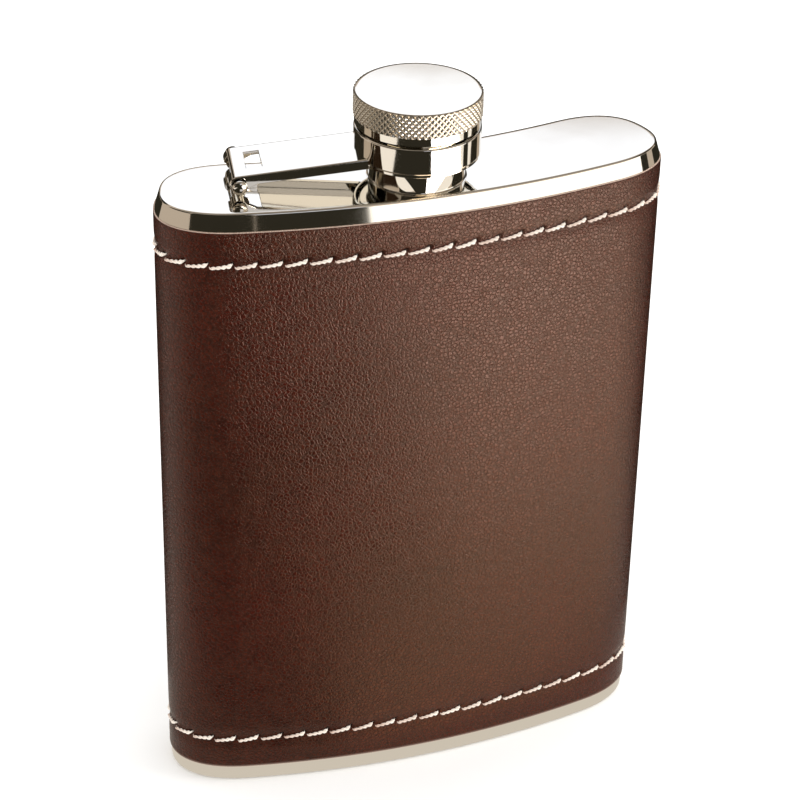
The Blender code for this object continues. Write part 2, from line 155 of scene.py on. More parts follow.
def plan_curve(steps):
    """Points round the outside of the leather, anticlockwise from the middle of the front."""
    straight = HALF_WIDTH - END_REACH
    quarter = [(straight * step / steps, -THICKNESS / 2) for step in range(steps)]
    for step in range(steps * 2):
        turn = math.pi * step / (steps * 2) - math.pi / 2
        along = straight + END_REACH * abs(math.cos(turn)) ** (2 / END_POWER)
        across = THICKNESS / 2 * math.copysign(abs(math.sin(turn)) ** (2 / END_POWER), turn)
        quarter.append((along, across))
    quarter += [(straight * (1 - step / steps), THICKNESS / 2) for step in range(steps)]
    whole = quarter + [(0.0, THICKNESS / 2)] + [(-s, q) for s, q in reversed(quarter[1:])]
    points = []
    for s, q in whole:
        angle = s / BEND_RADIUS
        points.append(((BEND_RADIUS - q) * math.sin(angle),
                       BEND_RADIUS - (BEND_RADIUS - q) * math.cos(angle) + CENTRE_SHIFT))
    return np.array(points)


PLAN_STEPS = 600
plan = plan_curve(PLAN_STEPS)
plan_steps = np.linalg.norm(np.roll(plan, -1, axis=0) - plan, axis=1)
plan_length = plan_steps.sum()
plan_at = np.concatenate([[0.0], np.cumsum(plan_steps)])
plan_tangent = np.roll(plan, -1, axis=0) - np.roll(plan, 1, axis=0)
plan_outward = np.stack([plan_tangent[:, 1], -plan_tangent[:, 0]], axis=1)
plan_outward /= np.linalg.norm(plan_outward, axis=1)[:, None]


def plan_place(along, inset):
    """Where a distance round the plan lies, drawn in from the outside of the leather by inset."""
    around = along % plan_length
    columns = [np.interp(around, plan_at, np.append(values, values[0]))
               for values in (plan[:, 0], plan[:, 1], plan_outward[:, 0], plan_outward[:, 1])]
    return columns[0] - inset * columns[2], columns[1] - inset * columns[3]


def start_ring(name, stations, inset, height):
    """Add a circle, put its corners on the plan at distances round it, and stay in edit mode."""
    bpy.ops.mesh.primitive_circle_add(vertices=len(stations), radius=HALF_WIDTH)
    piece = bpy.context.object
    piece.name = name
    bpy.ops.object.mode_set(mode="EDIT")
    work = bmesh.from_edit_mesh(piece.data)
    along = work.verts.layers.float.new("along")
    work.verts.ensure_lookup_table()
    for corner, station in zip(work.verts, stations):
        corner[along] = station
    place_ring(piece, inset, height)
    return piece


def place_ring(piece, inset, height):
    """Move the selected ring to its height and inset. The inset may vary round the plan."""
    work = bmesh.from_edit_mesh(piece.data)
    along = work.verts.layers.float["along"]
    chosen = [corner for corner in work.verts if corner.select]
    stations = np.array([corner[along] for corner in chosen])
    inwards = inset(stations) if callable(inset) else np.full(len(stations), inset)
    for corner, x, y in zip(chosen, *plan_place(stations, inwards)):
        corner.co = (x, y, height)
    bmesh.update_edit_mesh(piece.data)


def next_ring(piece, inset, height):
    """Extrude the selected ring on to a new inset and height."""
    bpy.ops.mesh.extrude_edges_move()
    place_ring(piece, inset, height)


def cap_ring():
    """Close the selected ring with one flat face."""
    bpy.ops.mesh.edge_face_add()


def close_mesh(piece, smooth_degrees=35):
    """Merge doubles, turn the faces outwards, leave edit mode and smooth all but the sharp edges."""
    bpy.ops.mesh.select_all(action="SELECT")
    bpy.ops.mesh.remove_doubles(threshold=0.000001)
    bpy.ops.mesh.normals_make_consistent(inside=False)
    bpy.ops.object.mode_set(mode="OBJECT")
    bpy.ops.object.select_all(action="DESELECT")
    piece.select_set(True)
    bpy.context.view_layer.objects.active = piece
    bpy.ops.object.shade_smooth_by_angle(angle=math.radians(smooth_degrees))
    piece.select_set(False)


def rounded_edge(inset, height, radius, start, end, steps):
    """Insets and heights of an arc in section, by angle: 0 faces out of the flask and 90 faces up."""
    for step in range(steps + 1):
        angle = math.radians(start + (end - start) * step / steps)
        yield inset - radius * math.cos(angle), height + radius * math.sin(angle)


PLATE_COLUMNS = 480
PLATE_STATIONS = np.arange(PLATE_COLUMNS) * plan_length / PLATE_COLUMNS
BASE_INSET = 0.35 * MM
BASE_EDGE = 0.95 * MM       # radius of the rounded edge
SPIGOT_INSET = 1.5 * MM     # both plates have a spigot that goes inside the leather
SPIGOT_LENGTH = 1.6 * MM
base_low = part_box("base_plate")[0].z
leather_low, leather_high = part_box("leather_wrap")
base_joint = leather_low.z - 0.05 * MM
base_plate = start_ring("base_plate_dressed", PLATE_STATIONS, BASE_INSET + BASE_EDGE * 1.6, base_low)
cap_ring()
for ring_inset, ring_z in rounded_edge(BASE_INSET + BASE_EDGE, base_low + BASE_EDGE, BASE_EDGE,
                                       -90, 0, 6):
    next_ring(base_plate, ring_inset, ring_z)
next_ring(base_plate, BASE_INSET, base_joint)
next_ring(base_plate, BASE_INSET + SPIGOT_INSET, base_joint)
next_ring(base_plate, BASE_INSET + SPIGOT_INSET, leather_low.z + SPIGOT_LENGTH)
cap_ring()
close_mesh(base_plate)
finish_piece(base_plate, mirror_steel, "flask", "polished_steel", "base_plate")

# Shoulder plate: the pressed steel top, soldered into the shell, flat and mirror-bright with a rolled
# edge. The band below the edge leans out a little towards the leather, as a pressed lid does.
shoulder_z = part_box("top_plate")[1].z
BAND_TOP_INSET = 1.0 * MM
BAND_FOOT_INSET = 0.25 * MM
ROLL_RADIUS = 0.5 * MM
BAND_LEAN = 15              # degrees that the band leans back
BAND_FOOT_BREAK = 0.1 * MM  # small chamfer where the band meets the leather
shoulder_joint = leather_high.z + 0.03 * MM
shoulder = start_ring("shoulder_plate", PLATE_STATIONS,
                      BAND_FOOT_INSET + SPIGOT_INSET, leather_high.z - SPIGOT_LENGTH)
cap_ring()
next_ring(shoulder, BAND_FOOT_INSET + SPIGOT_INSET, shoulder_joint)
next_ring(shoulder, BAND_FOOT_INSET + BAND_FOOT_BREAK, shoulder_joint)
next_ring(shoulder, BAND_FOOT_INSET, shoulder_joint + BAND_FOOT_BREAK)
for ring_inset, ring_z in rounded_edge(BAND_TOP_INSET + ROLL_RADIUS, shoulder_z - ROLL_RADIUS,
                                       ROLL_RADIUS, BAND_LEAN, 90, 8):
    next_ring(shoulder, ring_inset, ring_z)
next_ring(shoulder, BAND_TOP_INSET + 2 * ROLL_RADIUS, shoulder_z)
cap_ring()
close_mesh(shoulder)
neck_low, neck_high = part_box("neck")
NECK_AXIS = (neck_low + neck_high) / 2
NECK_SPIGOT = 6.8 * MM
bpy.ops.mesh.primitive_cylinder_add(vertices=96, radius=NECK_SPIGOT, depth=20 * MM,
                                    location=(NECK_AXIS.x, NECK_AXIS.y, shoulder_z))
neck_drill = bpy.context.object


def cut_out(piece, tool):
    """Cut a tool out of a piece for good, and throw the tool away."""
    cut = piece.modifiers.new("cut", "BOOLEAN")
    cut.object = tool
    cut.solver = "EXACT"
    bpy.context.view_layer.objects.active = piece
    bpy.ops.object.modifier_apply(modifier=cut.name)
    bpy.data.objects.remove(tool, do_unlink=True)


cut_out(shoulder, neck_drill)
finish_piece(shoulder, mirror_steel, "flask", "polished_steel", "top_plate")


# Neck: a steel tube turned on a lathe and soldered to the shoulder, with a flared foot and a threaded
# mouth. Its thread is a rolled ridge of almost two turns that the cap's sleeve screws down on.
def turn_on_lathe(name, profile, steps, closed=True):
    """Draw a profile of (radius, height) in millimetres, and spin it about the neck's axis."""
    bpy.ops.mesh.primitive_plane_add(size=1 * MM, location=(0, 0, 0))
    piece = bpy.context.object
    piece.name = name
    bpy.ops.object.mode_set(mode="EDIT")
    bpy.ops.mesh.merge(type="CENTER")
    path = [Vector((NECK_AXIS.x + radius * MM, NECK_AXIS.y, height * MM)) for radius, height in profile]
    bpy.ops.transform.translate(value=path[0])
    for here, there in zip(path, path[1:]):
        bpy.ops.mesh.extrude_region_move(TRANSFORM_OT_translate={"value": there - here})
    if closed:
        bpy.ops.mesh.extrude_region_move(TRANSFORM_OT_translate={"value": path[0] - path[-1]})
    bpy.ops.mesh.select_all(action="SELECT")
    bpy.ops.mesh.spin(steps=steps, angle=2 * math.pi,
                      center=(NECK_AXIS.x, NECK_AXIS.y, 0), axis=(0, 0, 1))
    close_mesh(piece)
    return piece


def soften(piece, width_mm, segments=3, clamp=True):
    """Round every sharp edge of a piece for good. With clamp on, short edges hold the width back."""
    bevel = piece.modifiers.new("soften", "BEVEL")
    bevel.limit_method = "ANGLE"
    bevel.angle_limit = math.radians(35)
    bevel.width = width_mm * MM
    bevel.segments = segments
    bevel.use_clamp_overlap = clamp
    bpy.context.view_layer.objects.active = piece
    bpy.ops.object.modifier_apply(modifier=bevel.name)


def thread_ridge(name, root_mm, crest_mm, start_z_mm, pitch_mm, turns):
    """A screw thread: a small trapezoid, run up a helix by a Screw modifier."""
    bpy.ops.mesh.primitive_plane_add(size=1 * MM, location=(0, 0, 0))
    ridge = bpy.context.object
    ridge.name = name
    bpy.ops.object.mode_set(mode="EDIT")
    bpy.ops.mesh.merge(type="CENTER")
    half_root = 0.34 * pitch_mm
    half_crest = 0.1 * pitch_mm
    section = [(root_mm, -half_root), (crest_mm, -half_crest),
               (crest_mm, half_crest), (root_mm, half_root)]
    path = [Vector((radius, 0.0, start_z_mm + height)) * MM for radius, height in section]
    bpy.ops.transform.translate(value=path[0])
    for here, there in zip(path, path[1:]):
        bpy.ops.mesh.extrude_region_move(TRANSFORM_OT_translate={"value": there - here})
    bpy.ops.object.mode_set(mode="OBJECT")
    run = ridge.modifiers.new("run", "SCREW")
    run.screw_offset = pitch_mm * turns * MM
    run.angle = 2 * math.pi * turns
    run.steps = int(STEPS_PER_TURN * turns)
    run.render_steps = run.steps
    bpy.ops.object.modifier_apply(modifier=run.name)
    bpy.ops.object.mode_set(mode="EDIT")
    bpy.ops.mesh.select_all(action="SELECT")
    bpy.ops.transform.translate(value=(NECK_AXIS.x, NECK_AXIS.y, 0))
    close_mesh(ridge)
    return ridge


THREAD_PITCH_MM = 1.5
STEPS_PER_TURN = 96
TUBE_BREAK_MM = 0.08        # rounding of the edges of turned tubes
LEDGE_MM = 123.0            # height of the ledge below the thread
neck_top_mm = neck_high.z / MM
shoulder_mm = shoulder_z / MM
neck_mouth = [(5.75, neck_top_mm), (6.8, neck_top_mm), (7.0, neck_top_mm - 0.2)]
neck_ledge = [(7.0, LEDGE_MM + 0.1), (7.2, LEDGE_MM), (8.1, LEDGE_MM), (8.3, LEDGE_MM - 0.2)]
neck_flare = [(8.3, shoulder_mm + 0.35), (8.35, shoulder_mm + 0.18), (8.45, shoulder_mm + 0.08),
              (8.65, shoulder_mm + 0.03), (8.65, shoulder_mm - 0.02)]
neck_spigot = [(6.75, shoulder_mm - 0.02), (6.75, shoulder_mm - 1.7)]
neck_bore = [(5.6, shoulder_mm - 1.7), (5.6, neck_top_mm - 0.15)]
neck = turn_on_lathe("neck_tube", neck_mouth + neck_ledge + neck_flare + neck_spigot + neck_bore, 128)
soften(neck, TUBE_BREAK_MM)
finish_piece(neck, mirror_steel, "flask", "polished_steel", "neck")
neck_thread = thread_ridge("neck_thread", root_mm=6.95, crest_mm=7.5, start_z_mm=LEDGE_MM + 0.55,
                           pitch_mm=THREAD_PITCH_MM, turns=1.8)
finish_piece(neck_thread, mirror_steel, "flask", "polished_steel")

# Leather wrap: one strip of dark brown hide drawn tight round the can, its ends butted at the middle
# of the back. The thread pulls it in along both stitch rows, and each needle hole is a dimple, its rim
# darkened with painted shade.
stitch_rows = {}            # each row's height and its spacing, by CAD node
for node, count in (("lower_stitching", 48), ("upper_stitching", 49)):
    stitch_rows[node] = (sum(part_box(node), Vector()).z / 2, plan_length / count)
FIRST_STROKE = -1.4 * MM    # where the stroke nearest the middle of the front begins
STITCH_RUN = 0.95           # share of the spacing that a stroke takes
HOLE_RISE = 0.42 * MM       # the needle goes down a little above the row
PULL_DEPTH = 0.3 * MM
PULL_REACH = 1.5 * MM
DIMPLE_DEPTH = 0.5 * MM
DIMPLE_REACH = 0.4 * MM
SEAM_DEPTH = 0.55 * MM
SEAM_REACH = 0.22 * MM
LEATHER_EDGE = 0.25 * MM    # radius of the cut edges
LEATHER_BACK = 1.05 * MM    # inset of the flesh side
back_middle = plan_length / 2


def wrapped(distance):
    """A distance round the plan as a signed distance from zero."""
    return (distance + plan_length / 2) % plan_length - plan_length / 2


def hole_nearness(along, height):
    """How close each place is to a needle hole, 1 in its middle and 0 away from it."""
    near = np.zeros(len(along))
    for row_z, spacing in stitch_rows.values():
        sideways = (along - FIRST_STROKE - STITCH_RUN * spacing + spacing / 2) % spacing - spacing / 2
        upwards = height - (row_z + HOLE_RISE)
        near = np.maximum(near, np.exp(-(sideways ** 2 + upwards ** 2) / DIMPLE_REACH ** 2))
    return near


def leather_inset(height):
    """How far the leather is drawn in at a height, as a function of the distance round the plan."""
    pull = sum(PULL_DEPTH * math.exp(-((height - row_z) / PULL_REACH) ** 2)
               for row_z, _ in stitch_rows.values())

    def inset(along):
        seam = SEAM_DEPTH * np.exp(-(wrapped(along - back_middle) / SEAM_REACH) ** 2)
        return pull + DIMPLE_DEPTH * hole_nearness(along, height) + seam
    return inset


# The mesh is close along the seam and the stitch rows, and open over the plain face.
SEAM_COLUMNS = 33
SEAM_ZONE = 1.4 * MM
SEAM_CLEAR = 1.5 * MM
FACE_COLUMNS = 760
FACE_RINGS = 24
FACE_MARGIN = 0.6 * MM
ROW_RINGS = 27
ROW_ZONE = 3.0 * MM
ROW_CLEAR = 3.2 * MM
seam_stations = back_middle + np.linspace(-1.0, 1.0, SEAM_COLUMNS) ** 3 * SEAM_ZONE
face_stations = np.arange(FACE_COLUMNS) * plan_length / FACE_COLUMNS
face_stations = face_stations[np.abs(wrapped(face_stations - back_middle)) > SEAM_CLEAR]
leather_stations = np.sort(np.concatenate([face_stations, seam_stations]))
face_heights = set(np.round(np.linspace(leather_low.z + FACE_MARGIN, leather_high.z - FACE_MARGIN,
                                        FACE_RINGS), 6))
for row_z, _ in stitch_rows.values():
    face_heights = {z for z in face_heights if abs(z - row_z) > ROW_CLEAR}
    face_heights |= set(np.round(row_z + np.linspace(-1.0, 1.0, ROW_RINGS) * ROW_ZONE, 6))

leather = start_ring("leather_sleeve", leather_stations, LEATHER_BACK, leather_low.z)
for ring_inset, ring_z in rounded_edge(LEATHER_EDGE, leather_low.z + LEATHER_EDGE, LEATHER_EDGE,
                                       -90, 0, 5):
    next_ring(leather, ring_inset, ring_z)
for ring_z in sorted(face_heights):
    next_ring(leather, leather_inset(ring_z), ring_z)
for ring_inset, ring_z in rounded_edge(LEATHER_EDGE, leather_high.z - LEATHER_EDGE, LEATHER_EDGE,
                                       0, 90, 5):
    next_ring(leather, ring_inset, ring_z)
next_ring(leather, LEATHER_BACK, leather_high.z)
bpy.ops.mesh.select_all(action="DESELECT")
bpy.ops.mesh.select_non_manifold(extend=False)
bpy.ops.mesh.bridge_edge_loops()
close_mesh(leather, 60)

# Marks for the finish, one value for each corner of the mesh: painted shade in the needle holes and
# along the seam, and pale raw edges that also paint a highlight line.
RAW_TOP = 0.08 * MM
RAW_FOOT = 0.2 * MM
SEAM_SHADE = 0.35 * MM
leather_points = np.zeros(len(leather.data.vertices) * 3)
leather.data.vertices.foreach_get("co", leather_points)
leather_points = leather_points.reshape(-1, 3)
leather_along = np.zeros(len(leather.data.vertices))
leather.data.attributes["along"].data.foreach_get("value", leather_along)
# Painted shade: how near each corner is to a needle hole, used to darken the hole's rim.
hole_shade = leather.data.attributes.new("needle_hole_shade", "FLOAT", "POINT")
hole_shade.data.foreach_set("value", hole_nearness(leather_along, leather_points[:, 2]))
# The raw cut edges are pale, and the pale band is also a painted highlight line along top and foot.
raw_top = np.clip(1.2 - (leather_high.z - leather_points[:, 2]) / RAW_TOP, 0, 1)
raw_foot = np.clip(1.5 - (leather_points[:, 2] - leather_low.z) / RAW_FOOT, 0, 1)
raw_edges_and_highlight = leather.data.attributes.new("raw_edges_and_highlight", "FLOAT", "POINT")
raw_edges_and_highlight.data.foreach_set("value", np.maximum(raw_top, raw_foot))
seam_gap = np.abs(wrapped(leather_along - back_middle))
seam_shade_mark = leather.data.attributes.new("back_seam_shade", "FLOAT", "POINT")
seam_shade_mark.data.foreach_set("value", np.exp(-seam_gap / SEAM_SHADE))

# Smooth full-grain cowhide, dyed dark brown and given a satin finish: the eye sees a fine crinkled
# grain with dark valleys, slow cloudy changes of brown, a warm sheen, pale raw edges with a painted
# highlight line, and painted shade in the needle holes and along the seam.
GRAIN_MM = 0.7              # pebbles of the grain
GRAIN_BEND_MM = 0.385       # how far the pebbles are pushed out of shape
CRINKLE_MM = 0.42           # creases between and across them
CLOUD_MM = 30.0             # slow changes of the dye
MOTTLE_MM = 4.0             # small changes of the dye
hide, shader = new_material("dyed_full_grain_cowhide")
shader.inputs["IOR"].default_value = 1.5
shader.inputs["Specular IOR Level"].default_value = 0.37
shader.inputs["Specular Tint"].default_value = linear("FFDAC2")
coords = add_node(hide, "ShaderNodeTexCoord")
cloud = add_node(hide, "ShaderNodeTexNoise", {"Scale": 1 / (CLOUD_MM * MM), "Detail": 3.0},
                 Vector=coords.outputs["Object"])
mottle = add_node(hide, "ShaderNodeTexNoise",
                  {"Scale": 1 / (MOTTLE_MM * MM), "Detail": 6.0, "Roughness": 0.65},
                  Vector=coords.outputs["Object"])
crinkle = add_node(hide, "ShaderNodeTexNoise",
                   {"Scale": 1 / (CRINKLE_MM * MM), "Detail": 3.0, "Roughness": 0.6, "Distortion": 0.8},
                   Vector=coords.outputs["Object"])
bent = add_node(hide, "ShaderNodeVectorMath", {"operation": "MULTIPLY_ADD"},
                [crinkle.outputs["Color"], (GRAIN_BEND_MM * MM,) * 3, coords.outputs["Object"]])
cells = add_node(hide, "ShaderNodeTexVoronoi",
                 {"Scale": 1 / (GRAIN_MM * MM), "feature": "DISTANCE_TO_EDGE"},
                 Vector=bent.outputs["Vector"])
hole_shade_mark = add_node(hide, "ShaderNodeAttribute", {"attribute_name": "needle_hole_shade"})
raw_edge_and_highlight_mark = add_node(hide, "ShaderNodeAttribute", {"attribute_name": "raw_edges_and_highlight"})
seam_shade = add_node(hide, "ShaderNodeAttribute", {"attribute_name": "back_seam_shade"})
cloud_tone = add_node(hide, "ShaderNodeValToRGB", Fac=cloud.outputs["Fac"])
cloud_tone.color_ramp.elements[0].position = 0.3
cloud_tone.color_ramp.elements[0].color = linear("320E05")
cloud_tone.color_ramp.elements[1].position = 0.72
cloud_tone.color_ramp.elements[1].color = linear("431109")
mottle_share = add_node(hide, "ShaderNodeMapRange",
                        {"From Min": 0.35, "From Max": 0.7, "To Min": 0.0, "To Max": 0.5},
                        Value=mottle.outputs["Fac"])
mottled = add_node(hide, "ShaderNodeMix", {"data_type": "RGBA", "B": linear("502413")},
                   Factor=mottle_share.outputs["Result"], A=cloud_tone.outputs["Color"])
speckle = add_node(hide, "ShaderNodeMapRange",
                   {"From Min": 0.36, "From Max": 0.56, "To Min": 0.75, "To Max": 0.0},
                   Value=crinkle.outputs["Fac"])
valley = add_node(hide, "ShaderNodeMapRange",
                  {"From Min": 0.0, "From Max": 0.14, "To Min": 0.8, "To Max": 0.0},
                  Value=cells.outputs["Distance"])
dark_share = add_node(hide, "ShaderNodeMath", {"operation": "MAXIMUM"},
                      [speckle.outputs["Result"], valley.outputs["Result"]])
grained = add_node(hide, "ShaderNodeMix", {"data_type": "RGBA", "B": linear("170703")},
                   Factor=dark_share.outputs["Value"], A=mottled.outputs["Result"])
# Painted shade: the leather is darkened round the needle holes and along the back seam.
painted_shade = add_node(hide, "ShaderNodeMath", {"operation": "MAXIMUM"},
                 [hole_shade_mark.outputs["Fac"], seam_shade.outputs["Fac"]])
painted_shade_share = add_node(hide, "ShaderNodeMapRange",
                       {"From Min": 0.2, "From Max": 0.8, "To Min": 0.0, "To Max": 0.9},
                       Value=painted_shade.outputs["Value"])
hole_and_seam_shaded = add_node(hide, "ShaderNodeMix", {"data_type": "RGBA", "B": linear("120705")},
                     Factor=painted_shade_share.outputs["Result"], A=grained.outputs["Result"])
# Pale raw edges, painted also as a highlight line along the top and the foot of the strip.
edged_and_highlighted = add_node(hide, "ShaderNodeMix", {"data_type": "RGBA", "B": linear("C4AD9D")},
                 Factor=raw_edge_and_highlight_mark.outputs["Fac"], A=hole_and_seam_shaded.outputs["Result"])
hide.node_tree.links.new(edged_and_highlighted.outputs["Result"], shader.inputs["Base Color"])
gloss = add_node(hide, "ShaderNodeMapRange",
                 {"From Min": 0.3, "From Max": 0.7, "To Min": 0.19, "To Max": 0.28},
                 Value=mottle.outputs["Fac"])
dulled = add_node(hide, "ShaderNodeMath", {"operation": "MULTIPLY_ADD"},
                  [dark_share.outputs["Value"], 0.12, gloss.outputs["Result"]])
hide.node_tree.links.new(dulled.outputs["Value"], shader.inputs["Roughness"])
grain_height = add_node(hide, "ShaderNodeMapRange",
                        {"From Min": 0.0, "From Max": 0.2, "To Min": 0.0, "To Max": 1.0},
                        Value=cells.outputs["Distance"])
pebble = add_node(hide, "ShaderNodeBump", {"Strength": 0.6, "Distance": 0.08 * MM},
                  Height=grain_height.outputs["Result"])
crinkle_bump = add_node(hide, "ShaderNodeBump", {"Strength": 0.5, "Distance": 0.12 * MM},
                        Height=crinkle.outputs["Fac"], Normal=pebble.outputs["Normal"])
hide.node_tree.links.new(crinkle_bump.outputs["Normal"], shader.inputs["Normal"])
finish_piece(leather, hide, "flask", "brown_leather", "leather_wrap")

# Stitching: two rows of thick waxed cream thread. A stroke comes up thin out of one needle hole, runs
# almost level and hooks up, pulled fat, into the next hole. One stroke of two twisted plies is
# modelled and copied along the rows.
STROKE_LENGTH = 4.1 * MM
PLY_RADIUS = 0.25 * MM
PLY_OFFSET = 0.19 * MM
PLY_TURNS = 2.25
TWIST_STEPS = 24
THIN_END = 0.58             # thickness where a stroke comes up, as a share of its fattest
SWELLING = 1.3              # power by which it thickens along its length
TIP_SHARE = 0.07            # share of the length in which it narrows again into the hole
TIP_LOSS = 0.4
STROKE_RISE = 0.35 * MM
RISE_START = 0.9            # share of the rise by which a stroke starts below the row
THREAD_DIVE = 0.7 * MM      # how far both ends go down into the holes
DIVE_SHARE = 0.08
bpy.ops.mesh.primitive_circle_add(vertices=7, radius=PLY_RADIUS, location=(0, 0, PLY_OFFSET),
                                  rotation=(0, math.radians(90), 0))
stroke = bpy.context.object
bpy.ops.object.transform_apply(location=True, rotation=True, scale=True)
bpy.ops.object.mode_set(mode="EDIT")
bpy.ops.mesh.duplicate()
bpy.ops.transform.translate(value=(0, 0, -2 * PLY_OFFSET))
bpy.ops.object.mode_set(mode="OBJECT")
twist = stroke.modifiers.new("twist", "SCREW")
twist.axis = "X"
twist.screw_offset = STROKE_LENGTH
twist.angle = 2 * math.pi * PLY_TURNS
twist.steps = TWIST_STEPS
twist.render_steps = TWIST_STEPS
bpy.ops.object.modifier_apply(modifier=twist.name)
bpy.ops.object.mode_set(mode="EDIT")
bpy.ops.mesh.select_all(action="SELECT")
bpy.ops.mesh.fill_holes(sides=0)
work = bmesh.from_edit_mesh(stroke.data)
run_share = work.verts.layers.float.new("run_share")
for corner in work.verts:
    share = min(max(abs(corner.co.x) / STROKE_LENGTH, 0.0), 1.0)
    corner[run_share] = share
    into_tip = max(share - 1 + TIP_SHARE, 0.0) / TIP_SHARE
    fatness = THIN_END + (1 - THIN_END) * share ** SWELLING - TIP_LOSS * into_tip
    rise = STROKE_RISE * (share + share ** 3 - RISE_START)
    first_dive = max(DIVE_SHARE - share, 0.0) / DIVE_SHARE
    last_dive = max(share - 1 + DIVE_SHARE, 0.0) / DIVE_SHARE
    dive = THREAD_DIVE * (first_dive + last_dive ** 2)
    corner.co = ((share - 0.5) * STROKE_LENGTH, -corner.co.y * fatness - dive,
                 corner.co.z * fatness + rise)
bmesh.update_edit_mesh(stroke.data)
close_mesh(stroke, 60)
LEAN_SPREAD = 1.6           # degrees
LENGTH_SPREAD = 0.015
FATNESS_SPREAD = 0.05
STITCH_INSET = PULL_DEPTH * 0.4
hand = np.random.default_rng(5)


def sew_row(name, row_z, spacing):
    """Copies of the stroke round the flask, facing out and a little uneven, joined into one row."""
    copies = []
    for stitch in range(round(plan_length / spacing)):
        middle = np.array([FIRST_STROKE + (stitch + STITCH_RUN / 2) * spacing])
        here = [values[0] for values in plan_place(middle, np.array([STITCH_INSET]))]
        inner = [values[0] for values in plan_place(middle, np.array([STITCH_INSET + 1 * MM]))]
        facing = math.atan2(here[1] - inner[1], here[0] - inner[0]) - math.pi / 2
        lean = math.radians(hand.normal(0.0, LEAN_SPREAD))
        length = STITCH_RUN * spacing / STROKE_LENGTH * hand.normal(1.0, LENGTH_SPREAD)
        copy = stroke.copy()
        copy.data = stroke.data.copy()
        bpy.context.scene.collection.objects.link(copy)
        stretch = Matrix.Diagonal((-length, 1, hand.normal(1.0, FATNESS_SPREAD), 1))
        turned = Matrix.Rotation(facing, 4, "Z") @ Matrix.Rotation(lean, 4, "Y")
        copy.matrix_world = Matrix.Translation((here[0], here[1], row_z)) @ turned @ stretch
        copies.append(copy)
    for copy in copies:
        copy.select_set(True)
    bpy.context.view_layer.objects.active = copies[0]
    bpy.ops.object.transform_apply(location=True, rotation=True, scale=True)
    bpy.ops.object.join()
    row = bpy.context.object
    row.name = name
    bpy.ops.object.mode_set(mode="EDIT")
    close_mesh(row, 60)
    return row


# Waxed linen thread: the eye sees pale cream plies with a dry, fibrous face, slow patches of tone, and
# a darker colour towards the end where a stroke comes up.
FIBRE_MM = 0.12
TONE_PATCH_MM = 5.0
linen, shader = new_material("waxed_linen_thread")
shader.inputs["Roughness"].default_value = 0.72
shader.inputs["Sheen Weight"].default_value = 0.25
coords = add_node(linen, "ShaderNodeTexCoord")
tone_patch = add_node(linen, "ShaderNodeTexNoise", {"Scale": 1 / (TONE_PATCH_MM * MM), "Detail": 4.0},
               Vector=coords.outputs["Object"])
stroke_run = add_node(linen, "ShaderNodeAttribute", {"attribute_name": "run_share"})
# Darker towards the end where a stroke comes up, and in slow patches of tone.
thread_lightness = add_node(linen, "ShaderNodeMath", {"operation": "MULTIPLY_ADD"},
                     [stroke_run.outputs["Fac"], 0.4, tone_patch.outputs["Fac"]])
thread_tone = add_node(linen, "ShaderNodeValToRGB", Fac=thread_lightness.outputs["Value"])
thread_tone.color_ramp.elements[0].position = 0.3
thread_tone.color_ramp.elements[0].color = linear("B8937F")
thread_tone.color_ramp.elements[1].position = 0.85
thread_tone.color_ramp.elements[1].color = linear("F0E4D6")
fibre = add_node(linen, "ShaderNodeTexNoise", {"Scale": 1 / (FIBRE_MM * MM), "Detail": 2.0},
                 Vector=coords.outputs["Object"])
fibre_bump = add_node(linen, "ShaderNodeBump", {"Strength": 0.5, "Distance": 0.04 * MM},
                      Height=fibre.outputs["Fac"])
linen.node_tree.links.new(thread_tone.outputs["Color"], shader.inputs["Base Color"])
linen.node_tree.links.new(fibre_bump.outputs["Normal"], shader.inputs["Normal"])
for node, (row_z, spacing) in stitch_rows.items():
    row = sew_row(node.replace("stitching", "stitches"), row_z, spacing)
    finish_piece(row, linen, "flask", "cream_thread", node)
bpy.data.objects.remove(stroke, do_unlink=True)


# Hinge: a bracket soldered to the shoulder, a folded steel arm and the rivet through both, all
# polished. Bracket and arm keep the shapes of their solids, with their edges broken as tumbling and
# buffing leave them. The rivet is made anew with two domed heads.
def dressed_copy(node, name):
    """A clean copy of a CAD node's mesh, its triangles merged back into flat faces, in edit mode."""
    piece = bpy.data.objects.new(name, frame["nodes"][node].data.copy())
    bpy.context.scene.collection.objects.link(piece)
    bpy.context.view_layer.objects.active = piece
    piece.select_set(True)
    bpy.ops.object.mode_set(mode="EDIT")
    bpy.ops.mesh.select_all(action="SELECT")
    bpy.ops.mesh.customdata_custom_splitnormals_clear()
    bpy.ops.mesh.remove_doubles(threshold=0.00001)
    bpy.ops.mesh.dissolve_limited(angle_limit=math.radians(1.0))
    return piece


def pick(piece, test):
    """Select in edit mode just the corners that pass a test of their place."""
    bpy.ops.mesh.select_all(action="DESELECT")
    work = bmesh.from_edit_mesh(piece.data)
    for corner in work.verts:
        corner.select = bool(test(corner.co))
    work.select_flush_mode()
    bmesh.update_edit_mesh(piece.data)


def shade_evenly(piece):
    """Let each flat face shade flat right up to its rounded edges."""
    weighted = piece.modifiers.new("weighted", "WEIGHTED_NORMAL")
    weighted.keep_sharp = True
    bpy.context.view_layer.objects.active = piece
    bpy.ops.object.modifier_apply(modifier=weighted.name)


SOLDER_GAP = 0.35 * MM      # gap in the solids that solder fills on the real flask
EDGE_BREAK_MM = 0.1         # rounding of the edges of bent and turned sheet
bracket_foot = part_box("hinge_bracket")[0].z
bracket = dressed_copy("hinge_bracket", "hinge_foot")
pick(bracket, lambda place: place.z < bracket_foot + 0.1 * MM)
bpy.ops.transform.translate(value=(0, 0, -SOLDER_GAP))
close_mesh(bracket)
soften(bracket, EDGE_BREAK_MM, clamp=False)
shade_evenly(bracket)
finish_piece(bracket, mirror_steel, "flask", "polished_steel", "hinge_bracket")

